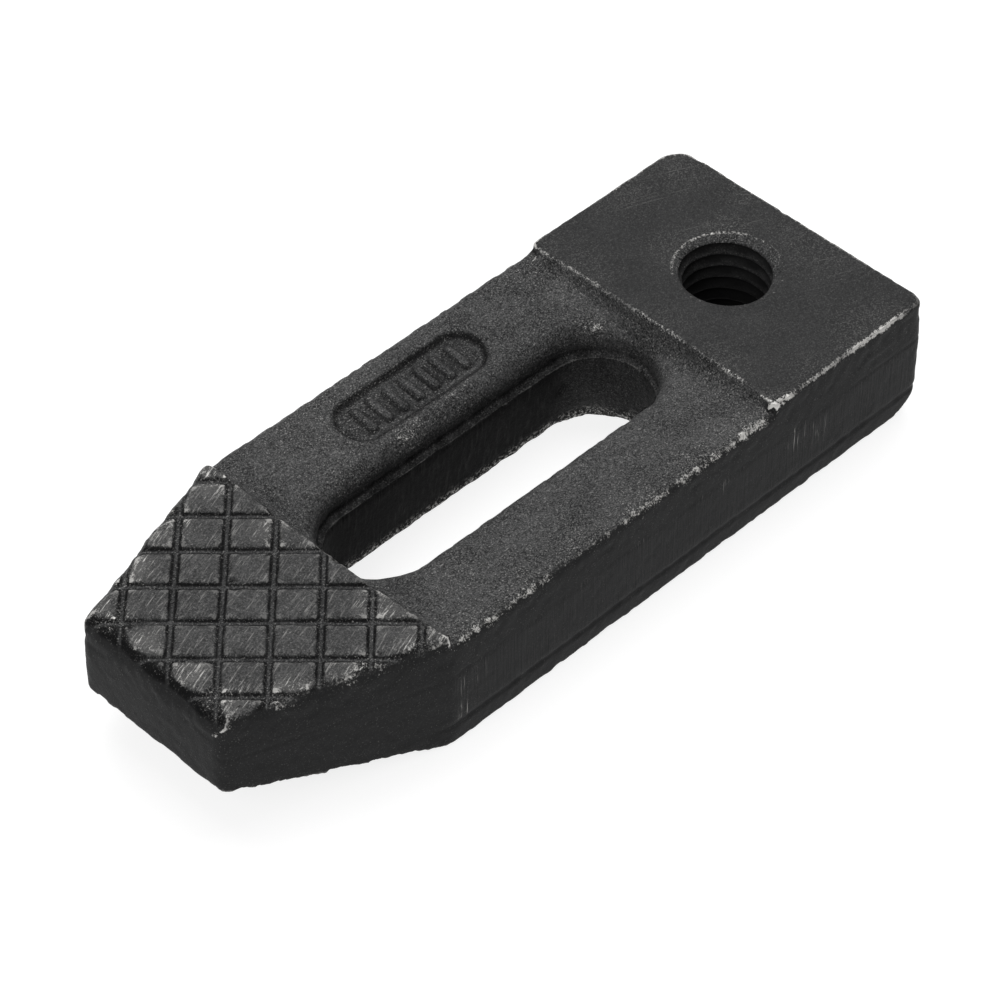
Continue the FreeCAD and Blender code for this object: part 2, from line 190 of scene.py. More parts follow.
skinLook = {"voxel": 0.26, "quickVoxel": 0.36, "triangles": 192000, "smoothRounds": 3,
            "swell": 0.12, "swellSize": 8.0, "lump": 0.08, "lumpSize": 2.4,
            "pebble": 0.11, "pebbleSize": 0.95, "middle": 0.4,
            "sideSkin": 0.45, "wallSkin": 0.35, "padCalm": 0.6,
            "padEdge": 0.6, "nosePadEdge": 1.4, "webEdge": 1.5,
            "farCrestEnd": 2.6, "nearCrestEnd": 0.9, "tailCrestShare": 0.6,
            "browRadius": 2.3, "browSize": 5.0,
            "chip": 0.30, "chipSize": 1.7, "chipPatch": 9.0,
            "tear": 0.55, "tearSize": 1.3, "gouge": 1.1, "gougeSize": 3.0,
            "wearRounds": 8, "wearShare": 97, "ridgeReach": 0.75}


def slotDistance(p):
    # how far a point lies from the slot's middle line
    along = p[:, 0] - np.clip(p[:, 0], slotShape["tailCentre"], slotShape["noseCentre"])
    return np.hypot(along, p[:, 1] - slotShape["shift"])


def holeDistance(p):
    return np.hypot(p[:, 0] - screwHole["along"], p[:, 1])


def webHeight(p):
    return webShape["middle"] + np.abs(p[:, 1]) * math.tan(math.radians(webShape["slope"]))


def onWeb(p):
    # 1 on the web between the feet of the two steps, 0 elsewhere
    between = ease(webShape["tailCrest"] + 0.3, webShape["tailCrest"] + 2.0, p[:, 0]) * (
        1 - ease(webShape["noseCrest"] - 2.0, webShape["noseCrest"] - 0.3, p[:, 0]))
    return between * ease(-1.2, -0.6, p[:, 2] - webHeight(p))


def draftRise(p):
    # how far the sides lean in above the parting line
    lean = math.tan(math.radians(sideShape["draft"]))
    return np.maximum(p[:, 2] - sideShape["parting"], 0) * lean


def noseSlant():
    return math.atan2(plateFrame["halfWidth"] - noseShape["tipHalf"],
                      noseShape["tip"] - noseShape["shoulder"])


def flankDistance(p):
    # how far a point lies inside the slanted side of the nose
    slant = noseSlant()
    across = plateFrame["halfWidth"] - np.abs(p[:, 1])
    return across * math.cos(slant) - (p[:, 0] - noseShape["shoulder"]) * math.sin(slant)


def sideDistance(p):
    # how far a point lies inside the nearer long side or flank
    return np.minimum(plateFrame["halfWidth"] - np.abs(p[:, 1]), flankDistance(p))


def sideNormal(p):
    slant = noseSlant()
    flank = flankDistance(p) < plateFrame["halfWidth"] - np.abs(p[:, 1])
    way = np.sign(p[:, 1])
    normal = np.zeros_like(p)
    normal[:, 0] = np.where(flank, math.sin(slant), 0.0)
    normal[:, 1] = np.where(flank, math.cos(slant), 1.0) * way
    return normal


def roundOff(p, firstInside, firstNormal, otherInside, otherNormal, radius, amount=1.0):
    # rolls the edge between two faces over to a radius, by how deep each point lies under both
    u = radius - firstInside
    v = radius - otherInside
    reach = np.hypot(u, v)
    over = (u > 0) & (v > 0) & (reach > radius)
    pull = np.where(over, 1 - radius / np.maximum(reach, 1e-6), 0.0) * amount
    return p - pull[:, None] * (u[:, None] * firstNormal + v[:, None] * otherNormal)


def grooveDistance(p):
    # how far a point lies from the middle of the nearest grip groove
    u = p[:, 0] - (noseShape["tip"] - gripShape["crossing"])
    nearest = np.full(len(p), 99.0)
    for way in (-1, 1):
        across = (u + way * p[:, 1]) / math.sqrt(2)
        away = np.abs(across - gripShape["pitch"] * np.round(across / gripShape["pitch"]))
        nearest = np.minimum(nearest, away)
    return nearest


def roundCrestEnds(p, side, normal, look):
    # the pads' corners over the web, seen in plan
    high = ease(webShape["middle"] + 1.2, webShape["middle"] + 2.6, p[:, 2])
    radius = np.where(p[:, 1] < 0, look["farCrestEnd"], look["nearCrestEnd"])
    tailward, noseward = np.array([-1.0, 0.0, 0.0]), np.array([1.0, 0.0, 0.0])
    onNose = high * (p[:, 0] > webShape["noseCrest"] - 2.0)
    p = roundOff(p, p[:, 0] - webShape["noseCrest"] + 0.3, tailward, side, normal, radius, onNose)
    onTail = high * (p[:, 0] < webShape["tailCrest"] + 2.0)
    return roundOff(p, webShape["tailCrest"] + 0.3 - p[:, 0], noseward, side, normal,
                    radius * look["tailCrestShare"], onTail)


def softenEdges(p, look):
    # rolls the edges of pads, web, brow and slot over
    up = np.array([0.0, 0.0, 1.0])
    front, tail = np.array([1.0, 0.0, 0.0]), np.array([-1.0, 0.0, 0.0])
    margin = webShape["crestMargin"]
    rise = draftRise(p)
    side, normal = sideDistance(p) - rise, sideNormal(p)
    pads = ((p[:, 0] < webShape["tailCrest"] + margin) | (p[:, 0] > webShape["noseCrest"] - margin)) * 1.0
    p = roundCrestEnds(p, side, normal, look)
    side = sideDistance(p) - rise
    exits = gripShape["exitRadius"] * bump(grooveDistance(p), gripShape["exitReach"])
    padEdge = np.where(p[:, 0] > webShape["noseCrest"] - margin, look["nosePadEdge"] + exits, look["padEdge"])
    p = roundOff(p, plateFrame["top"] - p[:, 2], up, side, normal, padEdge, pads)
    p = roundOff(p, webHeight(p) - p[:, 2], up, side, normal, look["webEdge"], 1 - pads)
    brow = look["browRadius"] * (0.75 + 0.5 * cloud(p, look["browSize"], 2.2)) + exits
    p = roundOff(p, plateFrame["top"] - p[:, 2], up, noseShape["tip"] - rise - p[:, 0], front, brow)
    p = roundOff(p, plateFrame["top"] - p[:, 2], up, p[:, 0] - rise, tail, look["padEdge"])
    # each grip pad sinks a little towards its grooves
    onPad = (p[:, 0] > webShape["noseCrest"]) & (plateFrame["top"] - p[:, 2] < 0.35)
    fromGroove = np.maximum(grooveDistance(p) - gripShape["halfGroove"], 0)
    p[:, 2] -= onPad * gripShape["pillow"] * bump(fromGroove, gripShape["pillowReach"])
    # rim of the slot
    wall = slotShape["wall"] + slotShape["lean"] * (p[:, 2] - sideShape["parting"])
    along = p[:, 0] - np.clip(p[:, 0], slotShape["tailCentre"], slotShape["noseCentre"])
    inward = -np.stack([along, p[:, 1] - slotShape["shift"], np.zeros(len(p))], 1)
    inward /= np.maximum(np.linalg.norm(inward, axis=1), 1e-6)[:, None]
    under = webHeight(p) - p[:, 2]
    return roundOff(p, under, up, slotDistance(p) - wall, inward, slotShape["rimRadius"],
                    ease(-0.7, 0.0, under) * ease(slotShape["ledge"], slotShape["ledge"] + 0.8, p[:, 2]))


def cutThread(p):
    # turns an M14 x 2 thread into the wall of the hole
    dx, dy = p[:, 0] - screwHole["along"], p[:, 1]
    reach = np.hypot(dx, dy)
    turn = (p[:, 2] / screwHole["pitch"] - np.arctan2(dy, dx) / (2 * math.pi)) % 1.0
    depth = np.clip((np.abs(2 * turn - 1) - screwHole["crestFlat"]) / screwHole["flank"], 0, 1)
    wanted = screwHole["core"] + depth * (screwHole["root"] - screwHole["core"])
    inside = (reach < screwHole["mouth"]) & (p[:, 2] > 0.05) & (p[:, 2] < plateFrame["top"] - 0.05)
    grown = np.where(inside, np.maximum(reach, wanted), reach)
    p[:, 0] = screwHole["along"] + dx * grown / np.maximum(reach, 1e-6)
    p[:, 1] = dy * grown / np.maximum(reach, 1e-6)
    return p


def panelCoords(p):
    return p[:, 0] - panelMarks["along"], p[:, 1] - panelMarks["across"]


def inPanel(p, margin=0.0):
    u, v = panelCoords(p)
    return ((np.abs(u) < panelMarks["halfField"] + margin)
            & (np.abs(v) < panelMarks["halfFieldWidth"] + margin) & (p[:, 2] > panelMarks["floorAbove"]))


def barDistance(u, v):
    # how far a point lies from the middle line of the nearest bar
    middle = (panelMarks["count"] - 1) / 2
    nearest = np.clip(np.round(u / panelMarks["spacing"] + middle), 0, panelMarks["count"] - 1) - middle
    halfLine = (panelMarks["barLength"] - panelMarks["barWidth"]) / 2
    return np.hypot(u - nearest * panelMarks["spacing"], np.maximum(np.abs(v) - halfLine, 0))


def raisePanelMarks(p):
    # plain raised bars on the floor of the sunk panel
    half = panelMarks["barWidth"] / 2
    lift = 1 - ease(half - 0.15, half + 0.2, barDistance(*panelCoords(p)))
    p[:, 2] += np.where(inPanel(p), lift * panelMarks["height"], 0)
    return p


def panelShade(p):
    # painted shade: a dark line round the sunk panel and at the foot of its bars
    u, v = panelCoords(p)
    run = (panelMarks["length"] - panelMarks["width"]) / 2
    rim = np.hypot(np.maximum(np.abs(u) - run, 0), v) - panelMarks["width"] / 2
    foot = barDistance(u, v) - panelMarks["barWidth"] / 2
    shade = np.maximum(bump(rim + 0.25, 0.45), 0.95 * bump(foot - 0.12, 0.24))
    return np.where(p[:, 2] > panelMarks["floorAbove"], shade, 0)


def forgeSkin(p, normals, look):
    # how far each point is pressed in; a little of the skin stands out instead
    spared = (holeDistance(p) < screwHole["mouth"] + 0.5) | inPanel(p, 1.0)
    pad = ease(0.5, 0.2, np.abs(p[:, 2] - plateFrame["top"])) * np.clip(normals[:, 2], 0, 1)
    slotWall = ((slotDistance(p) < 9.6) & (p[:, 2] < slotShape["ledge"] + 0.4)
                & (np.abs(normals[:, 2]) < 0.7))
    flatSide = (np.abs(normals[:, 2]) < 0.5) & ~slotWall & (p[:, 2] < plateFrame["top"] - 4.0)
    skin = np.where(slotWall, look["wallSkin"],
                    np.where(flatSide, look["sideSkin"], 1 - look["padCalm"] * pad))
    pebbles = ease(0.25, 0.75, cloud(p, look["pebbleSize"], 7.7))
    depth = (look["swell"] * (cloud(p, look["swellSize"]) - look["middle"])
             + look["lump"] * (cloud(p, look["lumpSize"], 3.1) - look["middle"])
             + look["pebble"] * (pebbles - look["middle"])) * skin
    # shallow lines round the sides: the parting line and the lower edge of the trimmed band
    side = ease(1.6, 0.8, sideDistance(p)) * ease(0.5, 0.8, np.hypot(normals[:, 0], normals[:, 1]))
    wander = (cloud(p, sideShape["wanderSize"], 5.5) - 0.5) * sideShape["wander"]
    alongBar = ease(noseShape["shoulder"] + 4, noseShape["shoulder"] - 2, p[:, 0])
    partingCut = sideShape["partingCut"] * bump(p[:, 2] - sideShape["parting"] - wander,
                                                sideShape["partingWidth"])
    lowerCut = sideShape["lowerCut"] * alongBar * bump(p[:, 2] - sideShape["lowerLine"] - wander * 0.5,
                                                       sideShape["lowerWidth"])
    depth = depth + side * (partingCut + lowerCut)
    # torn ledge and ragged lower rim of the slot
    ledge = bump(p[:, 2] - slotShape["ledge"], slotShape["tearWidth"]) * ease(9.0, 8.2, slotDistance(p))
    lowRim = bump(p[:, 2], slotShape["tearWidth"]) * ease(10.4, 9.2, slotDistance(p))
    tear = cloud(p * np.array([1, 1, 0.5]), look["tearSize"], 1.9)
    depth = depth + look["tear"] * np.maximum(ledge, 0.5 * lowRim) * tear
    # gouged wall at the tail end of the slot, where the punch tore the metal
    torn = slotWall * ease(slotShape["tailCentre"] + slotShape["gougeStart"],
                           slotShape["tailCentre"] + slotShape["gougeEnd"], p[:, 0])
    depth = depth + torn * look["gouge"] * ease(0.45, 0.8, cloud(p, look["gougeSize"], 6.1))
    return np.where(spared, 0.0, depth)


def keepInside(p):
    # no point may leave the solid's own box
    p[:, 0] = np.clip(p[:, 0], 0, noseShape["tip"])
    p[:, 1] = np.clip(p[:, 1], -plateFrame["halfWidth"], plateFrame["halfWidth"])
    p[:, 2] = np.clip(p[:, 2], 0, plateFrame["top"])
    return p


def chipEdges(p, stand, look):
    # small knocks where the metal stands out most
    spot = ease(0.55, 0.8, cloud(p, look["chipSize"], 9.3))
    spot = spot * ease(0.35, 0.6, cloud(p, look["chipPatch"], 4.4))
    return look["chip"] * spot * ease(0.5, 1.4, stand)


def standOut(p, normals, edges, rounds):
    # how far each point stands above its smoothed surroundings
    smooth = relax(p, edges, np.ones(len(p)), rounds)
    return np.sum((p - smooth) * normals, axis=1)


def ridgeNearness(p, reach):
    # 1 on the upper outer edges of pads and web, on the hole's mouth and on the far rim of the slot
    under = np.maximum(np.where(onWeb(p) > 0.5, webHeight(p) - p[:, 2], plateFrame["top"] - p[:, 2]), 0)
    inside = np.maximum(np.minimum(sideDistance(p), p[:, 0]), 0)
    outer = bump(np.hypot(under, np.maximum(inside - 0.4, 0)), reach)
    mouth = bump(holeDistance(p) - screwHole["mouth"] - 0.15, 0.28) * bump(plateFrame["top"] - p[:, 2], 0.4)
    rim = bump(slotDistance(p) - slotShape["wall"] - slotShape["rimRadius"] / 2, 0.5)
    rim = rim * (p[:, 1] < 0) * (p[:, 2] > 14)
    return np.maximum(np.maximum(outer * (1 + 0.3 * onWeb(p)), 1.6 * mouth), 0.75 * rim)


def edgeAway(p, look):
    # how far a point lies from the nearest line that wears bright: outer edges, tail step, mouth of the hole
    bow = 0.29  # how deep the middle of a rounded edge lies under both faces, as a share of its radius
    onTop = onWeb(p) < 0.5
    nose = p[:, 0] > webShape["noseCrest"] - webShape["crestMargin"]
    radius = np.where(onTop, np.where(nose, look["nosePadEdge"], look["padEdge"]), look["webEdge"])
    under = plateFrame["top"] - p[:, 2]
    below = np.where(onTop, under, webHeight(p) - p[:, 2])
    inside = np.minimum(sideDistance(p), p[:, 0]) - draftRise(p)
    away = np.hypot(below - bow * radius, inside - bow * radius) + np.where(onTop, 0.0, 0.14)
    away = np.minimum(away, np.hypot(under - 0.05, p[:, 0] - webShape["tailCrest"] - 0.1))
    return np.minimum(away, 0.06 + np.hypot(under - 0.05, holeDistance(p) - screwHole["mouth"]))


def keepValues(mesh, name, values):
    layer = mesh.attributes.get(name) or mesh.attributes.new(name, "FLOAT", "POINT")
    layer.data.foreach_set("value", np.asarray(values, dtype=np.float32))


def makePlate(look):
    voxel = look["voxel"]
    plate = remeshedCopy("clamping_plate", "clampingPlate", voxel)
    mesh = plate.data
    edges = readEdges(mesh)
    p = plateCoords(readPoints(mesh))
    print("even mesh", len(p), "points")

    hole = holeDistance(p) < screwHole["mouth"] + 0.4
    p = softenEdges(p, look)
    p = relax(p, edges, np.where(hole, 0.3, 1.0), look["smoothRounds"])
    writePoints(mesh, modelCoords(p))
    normals = readNormals(mesh)
    rounds = look["wearRounds"] * (look["voxel"] / voxel) ** 2
    stand = standOut(p, normals, edges, max(2, round(rounds)))
    outer = ~hole & ~inPanel(p) & (slotDistance(p) > 9.5)
    stand = stand / np.percentile(stand[outer], look["wearShare"])
    p = p - normals * (forgeSkin(p, normals, look) + chipEdges(p, np.where(hole, 0, stand), look))[:, None]
    p = raisePanelMarks(p)
    p = keepInside(cutThread(p))
    writePoints(mesh, modelCoords(p))
    normals = readNormals(mesh)
    fine = standOut(p, normals, edges, max(2, round(rounds / 2)))
    fine = fine / np.percentile(fine[outer], look["wearShare"])
    quiet = hole | inPanel(p, 1.3)
    keepValues(mesh, "edgeWear", np.where(quiet, 0, stand))
    keepValues(mesh, "fineWear", np.where(quiet, 0, fine))
    keepValues(mesh, "ridge", ridgeNearness(p, look["ridgeReach"]))
    print("forged skin, marks and thread done")

    mesh.calc_loop_triangles()
    triangles = len(mesh.loop_triangles)
    if triangles > look["triangles"]:
        thin = plate.modifiers.new("thin", "DECIMATE")
        thin.ratio = look["triangles"] / triangles
        applyModifiers(plate)
    writePoints(plate.data, modelCoords(keepInside(plateCoords(readPoints(plate.data)))))
    plate.data.polygons.foreach_set("use_smooth", [True] * len(plate.data.polygons))
    print("plate has", len(plate.data.polygons), "faces")
    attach(plate, "root")
    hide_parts("clamping_plate")
    return plate


# where the plate is rubbed most: along, across, up, reach, strength
rubbedPlaces = [
    (113.4, -10.5, 18.6, 3.6, 1.0), (113.4, -4.0, 18.6, 3.0, 0.8), (113.2, 3.5, 18.6, 3.0, 0.9),
    (115.8, 12.0, 15.5, 3.6, 0.9), (113.0, 10.0, 18.6, 4.0, 1.0), (107.0, 15.0, 18.6, 4.5, 0.9),
    (99.0, 18.5, 18.6, 5.0, 0.8), (90.0, 21.5, 18.6, 5.5, 1.0), (107.0, -15.0, 18.6, 5.0, 0.9),
    (98.0, -18.0, 18.6, 6.0, 0.7), (88.5, -19.0, 18.6, 5.0, 0.8), (88.5, 12.0, 18.6, 5.0, 0.7),
    (88.5, -6.0, 18.6, 6.0, 0.5),
    (83.0, 22.5, 17.6, 6.0, 1.0), (74.0, 22.5, 17.6, 7.0, 1.0), (63.0, 22.5, 17.6, 7.0, 0.8),
    (53.0, 22.5, 17.6, 7.0, 0.9), (43.0, 22.5, 17.6, 7.0, 1.0), (34.0, 22.5, 17.8, 6.0, 1.0),
    (28.5, 22.0, 18.6, 4.0, 1.0), (21.0, 22.5, 18.7, 6.0, 0.55), (10.0, 22.5, 18.7, 9.0, 0.7),
    (29.2, 12.0, 18.6, 6.0, 0.7), (29.2, 1.0, 18.6, 6.0, 0.4), (29.2, -14.0, 18.6, 8.0, 0.45),
    (3.0, -18.0, 18.7, 7.0, 0.6), (9.0, -5.0, 18.8, 5.0, 0.9), (15.8, -6.8, 18.8, 6.5, 0.6),
    (64.0, -9.0, 16.0, 4.5, 1.0), (56.0, -9.2, 16.0, 5.0, 0.5), (32.4, -7.2, 15.9, 3.5, 1.0),
    (75.0, -9.5, 16.0, 4.0, 0.6), (78.0, 13.0, 16.6, 6.0, 0.45), (1.8, -9.0, 18.7, 4.0, 0.6),
    (84.2, 22.5, 10.5, 3.0, 1.0), (84.8, 22.5, 5.5, 2.2, 0.9), (38.9, 22.5, 12.0, 2.0, 0.9),
    (25.5, 22.5, 11.0, 3.2, 0.9), (20.5, 22.5, 9.0, 3.0, 0.8), (31.0, -22.5, 17.6, 8.0, 0.7),
    (70.0, -22.5, 17.6, 14.0, 0.6), (12.0, -22.5, 18.6, 9.0, 0.5), (0.0, 5.0, 18.6, 12.0, 0.5),
]


# where each region fades in or out, as two values: from, to
regionEdges = {
    "padDepth": (0.42, 0.22), "padTilt": (0.7, 0.95), "grooveTop": (0.25, 0.5), "grooveFoot": (1.5, 1.1),
    "grooveSide": (0.8, 1.3), "upright": (0.55, 0.85), "outer": (3.0, 2.0),
    "bandFoot": (3.6, 4.2), "bandHead": (12.9, 12.1), "bandEnd": (90, 86), "lowStrip": (4.4, 3.4),
    "ledgeTilt": (0.2, 0.6), "wallReach": (9.3, 8.7), "wallTop": (15.4, 14.0), "wallUpper": (12.4, 13.4),
    "punchedTop": (12.6, 11.9), "burrReach": (10.2, 9.4), "burrHeight": (2.4, 0.5), "burrTilt": (-0.4, -0.9),
    "boreLip": (0.1, 0.35), "boreDark": (0.75, 1.15), "boreFoot": (0.0, 0.6), "threadDepth": (11.0, 4.0),
}


def markPlaces(plate):
    # regions that the finish reads: ground pads, trimmed sides, rubbed places, and painted shade on upright
    # faces, in the slot, the hole, the grooves and round the sunk panel
    mesh = plate.data
    p, n = plateCoords(readPoints(mesh)), readNormals(mesh)

    def fade(name, value):
        return ease(*regionEdges[name], value)

    under = plateFrame["top"] - p[:, 2]
    pads = fade("padDepth", under) * fade("padTilt", n[:, 2])
    onNose = ease(webShape["noseCrest"] - 0.5, webShape["noseCrest"] + 0.5, p[:, 0])
    onTail = ease(webShape["tailCrest"] + 0.5, webShape["tailCrest"] - 0.5, p[:, 0])
    # painted shade in the grip grooves and round the sunk panel
    groove = onNose * fade("grooveTop", under) * fade("grooveFoot", under)
    groove = np.maximum(groove * fade("grooveSide", sideDistance(p)), 0.75 * panelShade(p))
    endDistance = np.minimum(p[:, 0], noseShape["tip"] - p[:, 0])
    outer = fade("outer", np.minimum(sideDistance(p), endDistance))
    # upright outer faces: calmer grain, and painted shade that keeps them darker than the tops
    side = fade("upright", np.hypot(n[:, 0], n[:, 1])) * outer
    band = side * fade("bandFoot", p[:, 2]) * fade("bandHead", p[:, 2]) * fade("bandEnd", p[:, 0])

    # painted shade on the slot's walls, less on the ledge that faces up, on the upper wall and at the torn
    # tail end
    ledge = bump(p[:, 2] - slotShape["ledge"], 0.5) * fade("ledgeTilt", n[:, 2])
    slotWall = fade("wallReach", slotDistance(p)) * fade("wallTop", p[:, 2]) * (1 - 0.5 * ledge)
    slotWall = slotWall * (1 - 0.3 * fade("wallUpper", p[:, 2]))
    tornEnd = ease(slotShape["tailCentre"] + 2.0, slotShape["tailCentre"] - 4.0, p[:, 0])
    slotWall = slotWall * (1 - 0.35 * tornEnd)
    # ragged bright edge round the bottom of the slot
    burr = fade("burrReach", slotDistance(p)) * fade("burrHeight", p[:, 2])
    burr = burr * (1 - 0.7 * fade("burrTilt", n[:, 2]))

    # painted shade inside the hole, deepening down the bore, with the thread crests shaded less
    reach = holeDistance(p)
    bore = ease(screwHole["mouth"] + 0.1, screwHole["mouth"] - 0.3, reach) * fade("boreFoot", p[:, 2])
    bore = bore * (0.15 * fade("boreLip", under) + 0.85 * fade("boreDark", under))
    lighterThreadCrest = ease(screwHole["core"] + 0.35, screwHole["core"] + 0.05, reach) * fade("threadDepth", under)

    rubbed = np.zeros(len(p))
    for along, across, height, spread, strength in rubbedPlaces:
        away = np.linalg.norm(p - np.array([along, across, height]), axis=1)
        rubbed = np.maximum(rubbed, strength * ease(spread, spread * 0.3, away))

    places = {"nosePad": pads * onNose, "tailPad": pads * onTail, "groove": groove, "side": side,
              "trimBand": band, "lowStrip": outer * fade("lowStrip", p[:, 2]),
              "punched": slotWall * fade("punchedTop", p[:, 2]), "bore": bore * (1 - 0.55 * lighterThreadCrest),
              "slotWall": slotWall, "burr": burr, "rubbed": rubbed,
              "grooveAway": np.where(onNose > 0.5, grooveDistance(p), 9.0),
              "edgeAway": edgeAway(p, skinLook)}
    for name, values in places.items():
        keepValues(mesh, name, values)


plate = makePlate(skinLook)
markPlaces(plate)
print("regions marked")


# finish
steelLook = {
    "oxideDark": (0.0060, 0.0061, 0.0064), "oxideLight": (0.108, 0.108, 0.108),
    # the black colour below is the colour of painted shade in the slot, the hole and the grooves
    "shadeBlack": (0.0034, 0.0034, 0.0036),
    "scuff": (0.13, 0.128, 0.125), "bare": (0.56, 0.55, 0.53), "gloss": 0.04,
    "padShade": 0.47, "sideShade": 0.71, "lowShade": 0.40, "wallShade": 0.93, "boreShade": 0.80,
    "grooveShade": 0.85, "grooveBlack": 0.72, "grooveFloor": 0.12,
    "oxideRough": 0.48, "bareRough": 0.36, "grainDepth": 0.26,
    "patchScale": 0.16, "grainScale": 1.7, "fineScale": 4.4,
    "padTurn": -19, "padScratch": (0.28, 3.6, 1.0), "strayTurn": 24, "strayScratch": (0.16, 3.0, 1.0),
    "streak": (2.4, 2.4, 0.08),
    "patchShare": 0.16, "grainShare": 0.26, "fineShare": 0.58, "calmTone": 0.42,
    "edgeWorn": (1.20, 1.95), "edgeLine": (0.06, 0.36), "lineWorn": (0.30, 1.00), "lineBright": 0.80,
    "speck": (0.62, 0.70), "speckShare": 0.32,
}


class NodeSheet:
    # short way to add and join the nodes of one material
    def __init__(self, material):
        material.use_nodes = True
        self.tree = material.node_tree
        self.tree.nodes.clear()

    def add(self, kind, **values):
        node = self.tree.nodes.new(kind)
        for name, value in values.items():
            setattr(node, name, value)
        return node

    def join(self, source, node, socket):
        self.tree.links.new(source, node.inputs[socket])

    def put(self, node, socket, value):
        if isinstance(value, bpy.types.NodeSocket):
            self.join(value, node, socket)
        else:
            node.inputs[socket].default_value = value

    def math(self, operation, first, second=0.0, clamp=False):
        node = self.add("ShaderNodeMath", operation=operation, use_clamp=clamp)
        self.put(node, 0, first)
        self.put(node, 1, second)
        return node.outputs[0]

    def times(self, first, second):
        return self.math("MULTIPLY", first, second)

    def plus(self, first, second):
        return self.math("ADD", first, second)

    def minus(self, first, second):
        return self.math("SUBTRACT", first, second)

    def most(self, first, second):
        return self.math("MAXIMUM", first, second)

    def clamp(self, value):
        return self.math("ADD", value, 0.0, clamp=True)

    def stretch(self, coords, scale):
        node = self.add("ShaderNodeMapping")
        self.join(coords, node, "Vector")
        node.inputs["Scale"].default_value = scale
        return node.outputs[0]

    def turned(self, coords, degrees, scale):
        node = self.add("ShaderNodeMapping", vector_type="POINT")
        self.join(coords, node, "Vector")
        node.inputs["Rotation"].default_value = (0, 0, math.radians(degrees))
        return self.stretch(node.outputs[0], scale)

    def noise(self, coords, scale, detail=2.0, roughness=0.5, distortion=0.0):
        node = self.add("ShaderNodeTexNoise")
        self.join(coords, node, "Vector")
        node.inputs["Scale"].default_value = scale
        node.inputs["Detail"].default_value = detail
        node.inputs["Roughness"].default_value = roughness
        node.inputs["Distortion"].default_value = distortion
        return node.outputs[0]

    def ramp(self, value, low, high):
        node = self.add("ShaderNodeMapRange", interpolation_type="SMOOTHSTEP")
        self.put(node, "Value", value)
        self.put(node, "From Min", low)
        self.put(node, "From Max", high)
        return node.outputs[0]

    def mixColour(self, amount, first, second):
        node = self.add("ShaderNodeMix", data_type="RGBA")
        self.put(node, 0, amount)
        for socket, value in ((6, first), (7, second)):
            if isinstance(value, tuple):
                node.inputs[socket].default_value = (*value, 1.0)
            else:
                self.join(value, node, socket)
        return node.outputs[2]


